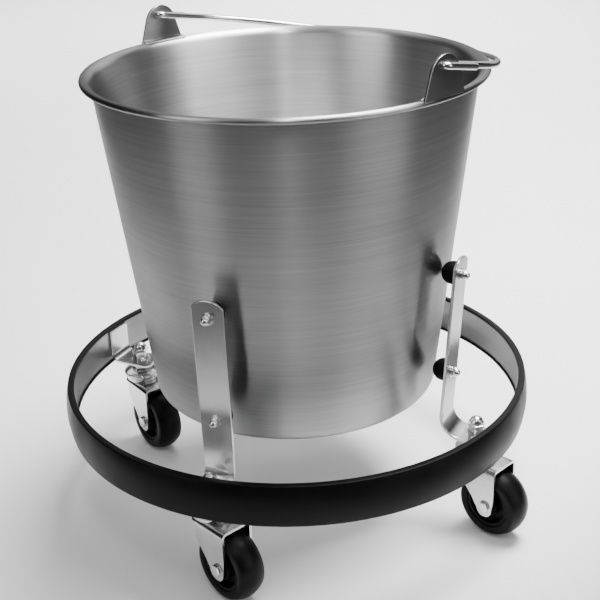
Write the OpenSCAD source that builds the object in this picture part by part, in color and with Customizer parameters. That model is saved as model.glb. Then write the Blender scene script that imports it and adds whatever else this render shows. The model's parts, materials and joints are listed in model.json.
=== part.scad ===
// Wheeled wash bucket: a tapered steel pail with a wire bail, carried between
// four padded uprights on a bumper-edged ring that rolls on four swivel casters.
// Millimetres. The origin is on the floor under the pail axis and +Z is up.

/* [Pail] */
// Height of the pail from its base to the rim
pail_h = 261.6; // [250:0.2:270]
// Outer radius of the rolled rim
rim_r = 155; // [153:0.5:156]
// Outer radius of the wall just under the flared rim
wall_top_r = 146.7; // [145:0.1:147]
// Outer radius where the wall would meet the base plane
wall_base_r = 115.9; // [113:0.1:116]
// Sheet thickness of the pail
sheet_t = 0.9; // [0.8:0.1:1.2]
// Radius of the corner between wall and base
base_corner_r = 7; // [5:0.5:9]
// Radius of the rolled bead at the rim
bead_r = 2.25; // [2:0.05:2.4]

/* [Ears and bail] */
// Direction of the first ear seen from above
ear_az = 342; // [335:0.5:345]
// Thickness of the ear plates
ear_t = 2; // [1.5:0.1:2.2]
// Width of an ear at the rim
ear_w = 41.5; // [38:0.5:44]
// Radius of the rounded top of an ear
ear_top_r = 15.5; // [14.5:0.5:16]
// Height of the top of an ear above the rim
ear_top_h = 28.5; // [28:0.1:29.5]
// How far the ear plates stand off the centre of their holes
ear_shift = 2.3; // [0:0.1:2.5]
// Height of the bail hole above the rim
ear_hole_h = 21.1; // [20:0.1:21.8]
// Radius of the bail wire
wire_r = 2.6; // [2.3:0.1:2.6]
// Radius of the bow of the bail
bow_r = 160; // [160:0.5:162]
// Radius of the bends between the legs and the bow
shoulder_r = 80; // [60:5:100]
// Length of the bent-back ends of the wire
tail_len = 28; // [20:1:32]
// How far the resting bail leans below level
bail_drop = 10.8; // [9:0.2:11.2]

/* [Ring] */
// Greatest radius of the rubber bumper
ring_r = 193; // [192.4:0.2:194]
// How far the bumper's face bulges
crown = 2.4; // [1.6:0.2:2.6]
// Height of the bumper
ring_h = 33.8; // [32:0.2:35]
// Height of the bumper's lower edge above the floor
ring_z = 77.7; // [77:0.1:79]
// Thickness of the steel band
band_t = 1.8; // [1.5:0.1:2]
// Thickness of the rubber over the band
rubber_t = 2.4; // [2:0.1:2.6]

/* [Uprights and pads] */
// Width of the flat bar
bar_w = 25.4; // [24:0.2:27]
// Thickness of the flat bar
bar_t = 2.5; // [2.2:0.1:2.8]
// Outward lean of the first and third bars
lean_a = 3.9; // [3:0.1:4.2]
// Outward lean of the second and fourth bars
lean_b = 1.3; // [1:0.1:1.8]
// Radius to the first and third bars at the upper pads
bar_r_a = 145.6; // [145:0.1:146.4]
// Radius to the second and fourth bars at the upper pads
bar_r_b = 147.6; // [147:0.1:148]
// Inner bend radius of the first and third bars
bend_a = 15.2; // [13:0.2:15.4]
// Inner bend radius of the second and fourth bars
bend_b = 11; // [9:0.5:11.5]
// Height of the top of the bar above the floor
bar_top = 231.3; // [226:0.5:236]
// Height of the upper pad above the floor
pad_hi = 216.5; // [214:0.5:218]
// Height of the lower pad above the floor
pad_lo = 133; // [128:0.5:138]
// Angle added between the two bracket pairs
pair_skew = 4.5; // [0:0.5:6]

/* [Casters] */
// Radius of the circle through the four caster stems
stem_circle_r = 161.5; // [161:0.5:162]
// Wheel radius
wheel_r = 28.6; // [28:0.2:29]
// Wheel width
wheel_w = 22; // [20:0.5:22]
// Distance from the swivel axis to the axle
trail = 20; // [18:0.5:21]
// Trail direction of the first caster
heading_1 = -16.6; // [-180:0.1:180]
// Trail direction of the second caster
heading_2 = -21; // [-180:0.1:180]
// Trail direction of the third caster
heading_3 = -25.7; // [-180:0.1:180]
// Trail direction of the fourth caster
heading_4 = -19; // [-180:0.1:180]

/* [Hidden] */
round_n = 96;
base_z = ring_z + 25.1;
rim_z = base_z + pail_h;
// flared rim
flare_r = 6;
flare_z = rim_z - sheet_t - flare_r;
wall_lean = atan((wall_top_r - wall_base_r) / (flare_z - base_z));
bead_c = [rim_r - bead_r, rim_z - bead_r];
corner_x = wall_base_r - base_corner_r * (1 - sin(wall_lean)) / cos(wall_lean);
// ears
ear_out = rim_r - 0.4;
ear_in = ear_out - ear_t;
hole_z = rim_z + ear_hole_h;
ear_c = ear_top_h - ear_top_r;
fit = 0.08;
turn_r = wire_r + 0.2;
swell = 0.05;
leg_a = ear_in - 0.4 - wire_r;
tail_a = ear_out + 0.4 + wire_r;
leg_len = sqrt(pow(bow_r - shoulder_r, 2) - pow(leg_a - shoulder_r, 2));
shoulder_turn = atan2(leg_len, leg_a - shoulder_r);
// ring
edge_r = ring_r - crown;
band_out = edge_r - rubber_t;
band_in = band_out - band_t;
lip_t = 0.8;
lip_in = 1.1;
lip_h = 2.4;
// brackets
bracket_az = [0, 90 + pair_skew, 180, 270 + pair_skew];
lean = [lean_a, lean_b, lean_a, lean_b];
bar_r = [bar_r_a, bar_r_b, bar_r_a, bar_r_b];
bend_in = [bend_a, bend_b, bend_a, bend_b];
tab_z = ring_z + 3.8;
heel_in = 6;
plate_top = ring_z + ring_h - lip_h - 1;
bend_steps = 18;
top_arc_r = 17;
hole_r = 2.2;
// pads: a dome on a short cylinder that ends 0.3 from the pail's wall
pad_r = 9;
pad_gap = 0.3;
// casters
head_z = [heading_1, heading_2, heading_3, heading_4];
tab_under = tab_z - bar_t;
collar_h = 7.5;
race_top = tab_under - collar_h;
race_h = 4.5;
race_r = 16.5;
crown_z = race_top - 8;
plate_t = 2.2;
lower_race_h = 2.7;
ball_ring_r = 11.9;
ball_r = 1.9;
pin_r = 4.5;
stem_r = 4;
washer_r = 8;
leg_y = wheel_w / 2 + 1.2;
leg_t = 2;
fork_half = leg_y + leg_t;
axle_r = 3;
hub_r = 19;
bush_r = 5.2;

// ---------- placing helpers ----------
module at_bracket(i) {
  rotate([0, 0, bracket_az[i]]) children();
}
module at_stem(i) {
  at_bracket(i)
    translate([stem_circle_r, 0, 0])
      rotate([0, 0, head_z[i] - bracket_az[i]]) children();
}
module at_axle(i) {
  at_stem(i) translate([trail, 0, wheel_r]) rotate([90, 0, 0]) children();
}
// on a standing bar's inner face at height z, with +Z towards the pail
module on_bar(i, z) {
  translate([bar_r[i], 0, pad_hi]) rotate([0, lean[i], 0])
    translate([-bar_t, 0, (z - pad_hi) / cos(lean[i])])
      rotate([0, -90, 0]) children();
}
module at_pad(i, z) {
  at_bracket(i) on_bar(i, z) children();
}
function arc_points(c, r, a0, a1) =
  [for (k = [0:bend_steps]) let (a = a0 + (a1 - a0) * k / bend_steps)
    c + r * [cos(a), sin(a)]];
module hex(af, h) {
  cylinder(h = h, r = af / sqrt(3), $fn = 6);
}

// ---------- ring ----------
module ring_band() {
  color([0.78, 0.78, 0.78])
    translate([0, 0, ring_z + lip_t])
      difference() {
        cylinder(h = ring_h - 2 * lip_t, r = band_out, $fn = round_n);
        translate([0, 0, -1]) cylinder(h = ring_h + 2, r = band_in, $fn = round_n);
      }
}

module bumper_section() {
  left = band_in - lip_in;
  half = ring_h / 2;
  face_r = (half * half + crown * crown) / (2 * crown);
  difference() {
    intersection() {
      translate([left, 0]) square([ring_r - left, ring_h]);
      translate([ring_r - face_r, half]) circle(r = face_r, $fn = 192);
    }
    translate([band_in, lip_t]) square([band_t, ring_h - 2 * lip_t]);
    translate([left - 1, lip_h]) square([band_out - left, ring_h - 2 * lip_h]);
  }
}

module ring_bumper() {
  color([0.05, 0.05, 0.05])
    translate([0, 0, ring_z]) rotate_extrude($fn = round_n) bumper_section();
}

// ---------- uprights, pads and their fastenings ----------
module upright_section(i) {
  l = lean[i];
  bend = bend_in[i];
  out_dir = [cos(l), -sin(l)];
  centre_z = tab_z + bend;
  centre = [bar_r[i] + (bend + (centre_z - pad_hi) * sin(l)) / cos(l), centre_z];
  heel = [band_in - bar_t - heel_in, tab_z + heel_in];
  over = bar_top - pad_hi + 2;
  top = [bar_r[i] + over * tan(l), bar_top + 2];
  polygon(concat(
    [top],
    arc_points(centre, bend, 180 - l, 270),
    arc_points(heel, heel_in, 270, 360),
    [[band_in - bar_t, plate_top], [band_in, plate_top]],
    arc_points(heel, heel_in + bar_t, 360, 270),
    arc_points(centre, bend + bar_t, 270, 180 - l),
    [top - bar_t * out_dir]
  ));
}

module upright_outline() {
  translate([-bar_w / 2, 0]) square([bar_w, bar_top - top_arc_r]);
  intersection() {
    translate([0, bar_top - top_arc_r]) circle(r = top_arc_r, $fn = 64);
    translate([-bar_w / 2, 0]) square([bar_w, bar_top + 1]);
  }
}

module upright(i) {
  color([0.8, 0.8, 0.8])
    at_bracket(i)
      difference() {
        intersection() {
          translate([0, bar_w / 2, 0]) rotate([90, 0, 0])
            linear_extrude(bar_w) upright_section(i);
          rotate([90, 0, 90]) linear_extrude(ring_r) upright_outline();
          cylinder(h = bar_top + 1, r = band_in, $fn = round_n);
        }
        for (z = [pad_lo, pad_hi])
          on_bar(i, z) translate([0, 0, -bar_t - 2])
            cylinder(h = bar_t + 4, r = hole_r, $fn = 32);
        translate([stem_circle_r, 0, tab_under - 1])
          cylinder(h = bar_t + 2, r = stem_r + 0.2, $fn = 32);
        translate([stem_circle_r, 0, tab_z]) cylinder(h = 3, r = washer_r + 0.2, $fn = 48);
      }
}

module pad(i) {
  l = wall_lean - lean[i];
  off_wall = (bar_r[i] - wall_base_r) * cos(wall_lean)
    - (pad_hi - base_z) * sin(wall_lean);
  stand = (off_wall - pad_r - pad_gap) / cos(l) - bar_t;
  color([0.06, 0.06, 0.06])
    difference() {
      union() {
        cylinder(h = stand, r = pad_r, $fn = 48);
        intersection() {
          translate([0, 0, stand]) sphere(r = pad_r, $fn = 48);
          cylinder(h = stand + pad_r, r = pad_r, $fn = 48);
        }
      }
      translate([0, 0, -1]) cylinder(h = 7, r = 2, $fn = 32);
      translate([0, 0, 3]) cylinder(h = 3, r = 3.6, $fn = 32);
    }
}
module pad_upper(i) { at_pad(i, pad_hi) pad(i); }
module pad_lower(i) { at_pad(i, pad_lo) pad(i); }

module pad_screw() {
  translate([0, 0, -bar_t - 4]) cylinder(h = bar_t + 4 + 3.2, r = 2, $fn = 32);
  translate([0, 0, 3]) cylinder(h = 3, r = 3.6, $fn = 32);
}
module pad_nut() {
  difference() {
    union() {
      translate([0, 0, -bar_t - 0.8]) cylinder(h = 0.8, r = 4.6, $fn = 32);
      translate([0, 0, -bar_t - 3.8]) hex(7, 3);
      translate([0, 0, -bar_t - 3.8]) sphere(r = 3.2, $fn = 32);
    }
    translate([0, 0, -bar_t - 5]) cylinder(h = 6, r = 2, $fn = 32);
  }
}
module pad_screws() {
  color([0.75, 0.75, 0.75])
    for (i = [0:3], z = [pad_lo, pad_hi]) at_pad(i, z) pad_screw();
}
module pad_nuts() {
  color([0.82, 0.82, 0.82])
    for (i = [0:3], z = [pad_lo, pad_hi]) at_pad(i, z) pad_nut();
}

// ---------- caster: parts fixed to the bracket ----------
module cap_nut() {
  nut_h = 9;
  dome_r = 6;
  difference() {
    union() {
      hex(13, nut_h);
      intersection() {
        translate([0, 0, nut_h]) sphere(r = dome_r, $fn = 48);
        cylinder(h = nut_h + dome_r + 1, r = dome_r, $fn = 48);
      }
    }
    translate([0, 0, -1]) cylinder(h = 10, r = stem_r, $fn = 32);
  }
}
module cap_nuts() {
  color([0.85, 0.85, 0.85])
    for (i = [0:3]) at_stem(i) translate([0, 0, tab_z + 1.3]) cap_nut();
}
module stem_washers() {
  color([0.75, 0.75, 0.75])
    for (i = [0:3]) at_stem(i) translate([0, 0, tab_z])
      difference() {
        cylinder(h = 1.3, r = washer_r, $fn = 48);
        translate([0, 0, -1]) cylinder(h = 4, r = stem_r, $fn = 32);
      }
}

module caster_stem(i) {
  color([0.8, 0.8, 0.8])
    at_stem(i) {
      translate([0, 0, tab_under - 0.1]) cylinder(h = 12.5, r = stem_r, $fn = 32);
      translate([0, 0, race_top]) hex(16, collar_h);
      translate([0, 0, crown_z - plate_t - 1.5])
        cylinder(h = race_top - crown_z + plate_t + 2, r = pin_r, $fn = 48);
      translate([0, 0, crown_z - plate_t - 2.3]) cylinder(h = 1.9, r = 7, $fn = 48);
    }
}

module ball_groove(z, r) {
  translate([0, 0, z]) rotate_extrude($fn = 64)
    translate([ball_ring_r, 0]) circle(r = r, $fn = 32);
}

module upper_race(i) {
  color([0.8, 0.8, 0.8])
    at_stem(i)
      difference() {
        union() {
          translate([0, 0, race_top - race_h])
            cylinder(h = race_h - 1.5, r = race_r, $fn = 64);
          translate([0, 0, race_top - 1.5])
            cylinder(h = 1.5, r1 = race_r, r2 = race_r - 3.5, $fn = 64);
        }
        translate([0, 0, race_top - race_h - 1])
          cylinder(h = race_h + 2, r = pin_r, $fn = 48);
        ball_groove(race_top - race_h - 0.1, ball_r + 0.35);
      }
}

// ---------- caster: parts that swivel ----------
module fork_section() {
  r_out = 4.2;
  r_in = 2;
  difference() {
    union() {
      translate([-fork_half, 0]) square([2 * fork_half, crown_z - r_out]);
      translate([-fork_half + r_out, 0]) square([2 * (fork_half - r_out), crown_z]);
      for (s = [-1, 1])
        translate([s * (fork_half - r_out), crown_z - r_out]) circle(r = r_out, $fn = 48);
    }
    translate([-leg_y, -1]) square([2 * leg_y, crown_z - plate_t - r_in + 1]);
    translate([-leg_y + r_in, -1]) square([2 * (leg_y - r_in), crown_z - plate_t + 1]);
    for (s = [-1, 1])
      translate([s * (leg_y - r_in), crown_z - plate_t - r_in]) circle(r = r_in, $fn = 32);
  }
}

module fork_side() {
  end_r = 7;
  front_x = trail + 8.7;
  polygon([
    [-14.5, crown_z + 1], [-13.5, crown_z - 3], [-3.5, wheel_r + 19],
    [8, wheel_r + 5], [trail - 6.2, wheel_r - 5], [trail, wheel_r - 2],
    [trail + end_r, wheel_r - 2], [front_x, wheel_r + 8], [front_x, crown_z + 1]
  ]);
  translate([trail, wheel_r - 2]) circle(r = end_r, $fn = 48);
}

module fork_top() {
  circle(r = 14.5, $fn = 64);
  translate([0, -fork_half]) square([trail + 9, 2 * fork_half]);
}

module fork(i) {
  color([0.8, 0.8, 0.8])
    at_stem(i)
      difference() {
        union() {
          intersection() {
            translate([-16, 0, 0]) rotate([90, 0, 90]) linear_extrude(50) fork_section();
            translate([0, 20, 0]) rotate([90, 0, 0]) linear_extrude(40) fork_side();
            linear_extrude(crown_z + 1) fork_top();
          }
          translate([0, 0, crown_z - 0.5]) cylinder(h = lower_race_h + 0.5, r = 14.5, $fn = 64);
        }
        translate([0, 0, crown_z]) cylinder(h = 8, r = 8.2, $fn = 48);
        translate([0, 0, crown_z - 4]) cylinder(h = 8, r = pin_r + fit, $fn = 48);
        ball_groove(crown_z + lower_race_h + 0.3, ball_r);
        translate([trail, 20, wheel_r]) rotate([90, 0, 0])
          cylinder(h = 40, r = axle_r, $fn = 32);
      }
}

module swivel_balls(i) {
  color([0.85, 0.85, 0.85])
    at_stem(i)
      for (k = [0:11])
        rotate([0, 0, 30 * k])
          translate([ball_ring_r, 0, crown_z + lower_race_h + 0.3])
            sphere(r = ball_r, $fn = 24);
}

module axle(i) {
  color([0.75, 0.75, 0.75])
    at_axle(i) {
      translate([0, 0, -fork_half - 4]) cylinder(h = 2 * fork_half + 6, r = axle_r, $fn = 32);
      translate([0, 0, fork_half]) hex(9, 2.4);
    }
}
module axle_nut(i) {
  color([0.8, 0.8, 0.8])
    at_axle(i)
      difference() {
        translate([0, 0, -fork_half - 3]) hex(9, 3);
        translate([0, 0, -fork_half - 4]) cylinder(h = 5, r = axle_r, $fn = 32);
      }
}

// ---------- wheel ----------
module tyre(i) {
  crown_r = 18.2;
  color([0.04, 0.04, 0.04])
    at_axle(i) rotate_extrude($fn = round_n)
      intersection() {
        translate([wheel_r - crown_r, 0]) circle(r = crown_r, $fn = 96);
        translate([hub_r, -wheel_w / 2]) square([wheel_r - hub_r + 1, wheel_w]);
      }
}
module wheel_hub(i) {
  color([0.1, 0.1, 0.1])
    at_axle(i) rotate_extrude($fn = round_n) {
      translate([hub_r - 3, -wheel_w / 2 + 1]) square([3, wheel_w - 2]);
      translate([bush_r, -4]) square([hub_r - bush_r - 1, 8]);
      translate([bush_r, -wheel_w / 2]) square([4, wheel_w]);
    }
}
module wheel_bush(i) {
  color([0.7, 0.7, 0.7])
    at_axle(i)
      difference() {
        translate([0, 0, -leg_y + 0.6])
          cylinder(h = 2 * leg_y - 1.2, r = bush_r, $fn = 48);
        translate([0, 0, -leg_y]) cylinder(h = 2 * leg_y, r = axle_r + fit, $fn = 48);
      }
}

// ---------- pail ----------
module pail_section() {
  corner = [corner_x, base_z + base_corner_r];
  flare = [wall_top_r + flare_r, flare_z];
  polygon(concat(
    [[0, base_z]],
    arc_points(corner, base_corner_r, -90, -wall_lean),
    arc_points(flare, flare_r, 180, 90),
    arc_points(flare, flare_r + sheet_t, 90, 180 - wall_lean),
    arc_points(corner, base_corner_r - sheet_t, -wall_lean, -90),
    [[0, base_z + sheet_t]]
  ));
  translate(bead_c) circle(r = bead_r, $fn = 48);
}

module pail_shell() {
  color([0.75, 0.75, 0.75]) rotate_extrude($fn = 128) pail_section();
}

// ---------- ears and bail ----------
module ear_outline() {
  half = ear_w / 2;
  reach = sqrt(half * half + ear_c * ear_c);
  tangent = acos(ear_top_r / reach) - atan(ear_c / half);
  side_x = ear_top_r * cos(tangent);
  side_z = ear_c + ear_top_r * sin(tangent);
  polygon([
    [-half, -0.4], [half, -0.4], [half, 0], [side_x, side_z],
    [-side_x, side_z], [-half, 0]
  ]);
  translate([0, ear_c]) circle(r = ear_top_r, $fn = 64);
}

module ear(turn) {
  aside = turn == 0 ? ear_shift : -ear_shift;
  color([0.75, 0.75, 0.75])
    rotate([0, 0, ear_az + turn]) {
      difference() {
        translate([ear_in, aside, rim_z]) rotate([90, 0, 90])
          linear_extrude(ear_t) ear_outline();
        translate([ear_in - 1, 0, hole_z]) rotate([0, 90, 0])
          cylinder(h = ear_t + 2, r = wire_r + fit, $fn = 48);
      }
      intersection() {
        rotate_extrude($fn = 128)
          intersection() {
            translate([wall_top_r + flare_r, flare_z])
              difference() {
                circle(r = flare_r + sheet_t + 1.2, $fn = 64);
                circle(r = flare_r + sheet_t - 0.05, $fn = 64);
              }
            translate([ear_in - 9, rim_z - 3]) square([11, 6]);
          }
        translate([100, aside - ear_w / 2, 0])
          cube([ear_in - 99.5, ear_w, rim_z + 10]);
      }
    }
}

module wire_arc(r, start, sweep) {
  rotate([0, 0, start]) rotate_extrude(angle = sweep, $fn = 192)
    translate([r, 0]) circle(r = wire_r, $fn = 32);
}

module half_bail() {
  inner_a = leg_a + turn_r;
  outer_a = tail_a - turn_r;
  translate([leg_a - shoulder_r, leg_len, 0]) wire_arc(shoulder_r, 0, shoulder_turn);
  // a slight swell where the shoulder runs into the bow
  rotate([0, 0, shoulder_turn]) translate([bow_r, 0, 0])
    sphere(r = wire_r + swell, $fn = 48);
  translate([leg_a, turn_r, 0]) rotate([-90, 0, 0])
    cylinder(h = leg_len - turn_r, r = wire_r, $fn = 32);
  translate([inner_a, turn_r, 0]) wire_arc(turn_r, 180, 90);
  translate([inner_a, 0, 0]) rotate([0, 90, 0])
    cylinder(h = outer_a - inner_a, r = wire_r, $fn = 32);
  translate([outer_a, turn_r, 0]) wire_arc(turn_r, 270, 90);
  translate([tail_a, turn_r, 0]) rotate([-90, 0, 0])
    cylinder(h = tail_len, r = wire_r, $fn = 32);
}

module bail() {
  color([0.8, 0.8, 0.8])
    translate([0, 0, hole_z]) rotate([0, 0, ear_az]) rotate([-bail_drop, 0, 0]) {
      half_bail();
      mirror([1, 0, 0]) half_bail();
      wire_arc(bow_r, shoulder_turn, 180 - 2 * shoulder_turn);
    }
}

ring_band();
ring_bumper();
upright(0);  // upright_1
upright(1);  // upright_2
upright(2);  // upright_3
upright(3);  // upright_4
pad_upper(0);  // pad_upper_1
pad_upper(1);  // pad_upper_2
pad_upper(2);  // pad_upper_3
pad_upper(3);  // pad_upper_4
pad_lower(0);  // pad_lower_1
pad_lower(1);  // pad_lower_2
pad_lower(2);  // pad_lower_3
pad_lower(3);  // pad_lower_4
pad_screws();
pad_nuts();
cap_nuts();
stem_washers();
caster_stem(0);  // caster_stem_1
caster_stem(1);  // caster_stem_2
caster_stem(2);  // caster_stem_3
caster_stem(3);  // caster_stem_4
upper_race(0);  // upper_race_1
upper_race(1);  // upper_race_2
upper_race(2);  // upper_race_3
upper_race(3);  // upper_race_4
fork(0);  // fork_1
fork(1);  // fork_2
fork(2);  // fork_3
fork(3);  // fork_4
swivel_balls(0);  // swivel_balls_1
swivel_balls(1);  // swivel_balls_2
swivel_balls(2);  // swivel_balls_3
swivel_balls(3);  // swivel_balls_4
axle(0);  // axle_1
axle(1);  // axle_2
axle(2);  // axle_3
axle(3);  // axle_4
axle_nut(0);  // axle_nut_1
axle_nut(1);  // axle_nut_2
axle_nut(2);  // axle_nut_3
axle_nut(3);  // axle_nut_4
tyre(0);  // tyre_1
tyre(1);  // tyre_2
tyre(2);  // tyre_3
tyre(3);  // tyre_4
wheel_hub(0);  // wheel_hub_1
wheel_hub(1);  // wheel_hub_2
wheel_hub(2);  // wheel_hub_3
wheel_hub(3);  // wheel_hub_4
wheel_bush(0);  // wheel_bush_1
wheel_bush(1);  // wheel_bush_2
wheel_bush(2);  // wheel_bush_3
wheel_bush(3);  // wheel_bush_4
pail_shell();
ear(0);  // ear_1
ear(180);  // ear_2
bail();
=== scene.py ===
import json
from math import acos, asin, atan2, cos, degrees, hypot, pi, radians, sin, sqrt, tan

import bmesh
import bpy
from mathutils import Matrix, Vector


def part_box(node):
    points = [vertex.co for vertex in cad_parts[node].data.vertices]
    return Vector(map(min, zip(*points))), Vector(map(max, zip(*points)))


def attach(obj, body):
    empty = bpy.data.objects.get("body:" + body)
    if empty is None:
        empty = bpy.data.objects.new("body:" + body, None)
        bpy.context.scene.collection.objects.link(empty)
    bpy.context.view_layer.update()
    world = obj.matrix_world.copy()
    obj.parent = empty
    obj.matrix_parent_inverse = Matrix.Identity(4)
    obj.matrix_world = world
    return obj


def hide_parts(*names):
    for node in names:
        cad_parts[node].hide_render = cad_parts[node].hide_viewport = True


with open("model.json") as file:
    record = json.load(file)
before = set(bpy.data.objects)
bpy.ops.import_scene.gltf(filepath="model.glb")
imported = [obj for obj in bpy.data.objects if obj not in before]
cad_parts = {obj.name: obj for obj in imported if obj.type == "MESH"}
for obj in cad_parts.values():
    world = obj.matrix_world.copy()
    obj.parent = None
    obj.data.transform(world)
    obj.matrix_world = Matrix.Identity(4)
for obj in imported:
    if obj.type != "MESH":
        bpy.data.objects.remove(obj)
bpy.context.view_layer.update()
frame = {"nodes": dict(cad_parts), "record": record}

MM = 0.001

# ---------------------------------------------------------------- sizes, in mm
# Places that the frame knows come from it; the rest are the part's own sizes.


def mm_box(node):
    """The low and high corners of a CAD node's box, in mm."""
    low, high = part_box(node)
    return [c / MM for c in low], [c / MM for c in high]


JOINTS = {j["name"]: j for j in frame["record"]["behaviour"]["joints"]}
BRACKETS = (1, 2, 3, 4)

base_z = mm_box("pail_shell")[0][2]
rim_z = mm_box("pail_shell")[1][2]
rim_r = mm_box("pail_shell")[1][0]
ring_z, ring_top = mm_box("ring_bumper")[0][2], mm_box("ring_bumper")[1][2]
ring_r = mm_box("ring_bumper")[1][0]
bar_top = mm_box("upright_1")[1][2]
wheel_r = JOINTS["roll_1"]["pos_m"][2] / MM

sheet_t = 0.9
flare_r = 6.0
bead_r = 2.25
base_corner_r = 7.0
wall_top_r = 146.7
wall_base_r = 115.9
flare_z = rim_z - sheet_t - flare_r
wall_lean = atan2(wall_top_r - wall_base_r, flare_z - base_z)

ear_out = rim_r - 0.4
ear_t = 2.0
ear_w = 41.5
ear_top_r = 15.5
ear_top_h = 28.5
ear_shift = {0.0: 2.3, pi: -2.3}
wire_r = 2.6
bow_r = 160.0
shoulder_r = 80.0
bail_drop = radians(10.8)
tail_len = 28.0
turn_r = wire_r + 0.2
leg_a = ear_out - ear_t - 0.4 - wire_r
tail_a = ear_out + 0.4 + wire_r

crown = 2.4
band_t = 1.8
rubber_t = 2.4
lip_t = 0.8
lip_in = 1.1
lip_h = 2.4
edge_r = ring_r - crown
band_out = edge_r - rubber_t
band_in = band_out - band_t

bar_w = 25.4
bar_t = 2.5
bar_lean = {1: radians(3.9), 2: radians(1.3), 3: radians(3.9), 4: radians(1.3)}
bar_r = {1: 145.6, 2: 147.6, 3: 145.6, 4: 147.6}
bend_in = {1: 15.2, 2: 11.0, 3: 15.2, 4: 11.0}
pad_hi = 216.5
pad_lo = 133.0
heel_in = 6.0
tab_z = ring_z + 3.8
top_arc_r = 17.0
plate_top = ring_top - lip_h - 1
pad_r = 9.0

collar_h = 7.5
race_stack = 8
crown_z = tab_z - bar_t - collar_h - race_stack
race_top = tab_z - bar_t - collar_h
trail = 20.0
wheel_w = 22.0
leg_y = wheel_w / 2 + 1.2
leg_t = 2.0
fork_half = leg_y + leg_t
axle_r = 3.0


# ---------------------------------------------------------------- mesh helpers
WELD_MM = 0.002
WELD_M = 1e-6
AXIS_R = 1e-4
SHARP = 35


def linked(name, data):
    """A new object in the scene that holds the data."""
    obj = bpy.data.objects.new(name, data)
    bpy.context.collection.objects.link(obj)
    return obj


def smooth(mesh, sharp=SHARP):
    """Smooth shading but for edges sharper than the angle in degrees."""
    mesh.shade_smooth()
    mesh.set_sharp_from_angle(angle=radians(sharp))


def finish_mesh(name, bm, matrix=None, sharp=SHARP):
    """A piece made from a bmesh in mm: welded, scaled to metres and smoothed."""
    bmesh.ops.remove_doubles(bm, verts=bm.verts, dist=WELD_MM)
    bmesh.ops.recalc_face_normals(bm, faces=bm.faces)
    mesh = bpy.data.meshes.new(name)
    bm.to_mesh(mesh)
    bm.free()
    mesh.transform(Matrix.Scale(MM, 4))
    smooth(mesh, sharp)
    obj = linked(name, mesh)
    if matrix is not None:
        obj.matrix_world = matrix
    return obj


def arc(cx, cy, r, a0, a1, steps):
    """Points on a circle from angle a0 to a1, in degrees, both ends included."""
    return [
        (cx + r * cos(radians(a0 + (a1 - a0) * k / steps)),
         cy + r * sin(radians(a0 + (a1 - a0) * k / steps)))
        for k in range(steps + 1)
    ]


def rounded_corner(p, q, s, r, steps=3):
    """The corner at q of the outline p-q-s, rounded with radius about r."""
    most = 0.45
    p, q, s = Vector(p), Vector(q), Vector(s)
    a = q + (p - q).normalized() * min(r, (p - q).length * most)
    b = q + (s - q).normalized() * min(r, (s - q).length * most)
    out = []
    for k in range(steps + 1):
        t = k / steps
        out.append(tuple((1 - t) ** 2 * a + 2 * t * (1 - t) * q + t * t * b))
    return out


def rounded(points, r, steps=3):
    """A closed outline with every corner rounded."""
    n = len(points)
    out = []
    for k in range(n):
        out += rounded_corner(points[k - 1], points[k], points[(k + 1) % n], r, steps)
    return out


def lathe_bm(profile, steps, closed):
    """Turns a profile of (radius, height) round Z; a closed one is a ring's section."""
    bm = bmesh.new()
    rings = []
    for r, z in profile:
        if r < AXIS_R:
            rings.append([bm.verts.new((0, 0, z))])
        else:
            rings.append([
                bm.verts.new((r * cos(2 * pi * k / steps), r * sin(2 * pi * k / steps), z))
                for k in range(steps)
            ])
    pairs = list(zip(rings, rings[1:]))
    if closed:
        pairs.append((rings[-1], rings[0]))
    for low, high in pairs:
        for k in range(steps):
            n = (k + 1) % steps
            quad = [low[k % len(low)], low[n % len(low)],
                    high[n % len(high)], high[k % len(high)]]
            corners = list(dict.fromkeys(quad))
            if len(corners) > 2:
                bm.faces.new(corners)
    return bm


def lathe(name, profile, steps, closed=True, matrix=None, sharp=SHARP):
    """A solid of revolution about Z; profile is (radius, height) in mm."""
    return finish_mesh(name, lathe_bm(profile, steps, closed), matrix, sharp)


def prism_bm(outline, z0, z1, edge):
    """A prism over a convex outline, with its two rims chamfered in two steps."""
    cx = sum(p[0] for p in outline) / len(outline)
    cy = sum(p[1] for p in outline) / len(outline)
    reach = max(hypot(x - cx, y - cy) for x, y in outline)

    def shrunk(by):
        f = 1 - by / reach
        return [(cx + (x - cx) * f, cy + (y - cy) * f) for x, y in outline]

    knee = edge * 0.3
    levels = [(z0, edge), (z0 + knee, knee), (z0 + edge, 0),
              (z1 - edge, 0), (z1 - knee, knee), (z1, edge)]
    bm = bmesh.new()
    rings = [[bm.verts.new((x, y, z)) for x, y in shrunk(by)] for z, by in levels]
    n = len(outline)
    for low, high in zip(rings, rings[1:]):
        for k in range(n):
            bm.faces.new((low[k], low[(k + 1) % n], high[(k + 1) % n], high[k]))
    bm.faces.new(rings[0][::-1])
    bm.faces.new(rings[-1])
    return bm


def hex_outline(flats, edge_r=0.35):
    """A hexagon with its size across flats, and its corners rounded a little."""
    reach = flats / sqrt(3)
    corners = [(reach * cos(radians(60 * k)), reach * sin(radians(60 * k)))
               for k in range(6)]
    return rounded(corners, edge_r, 3)


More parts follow.
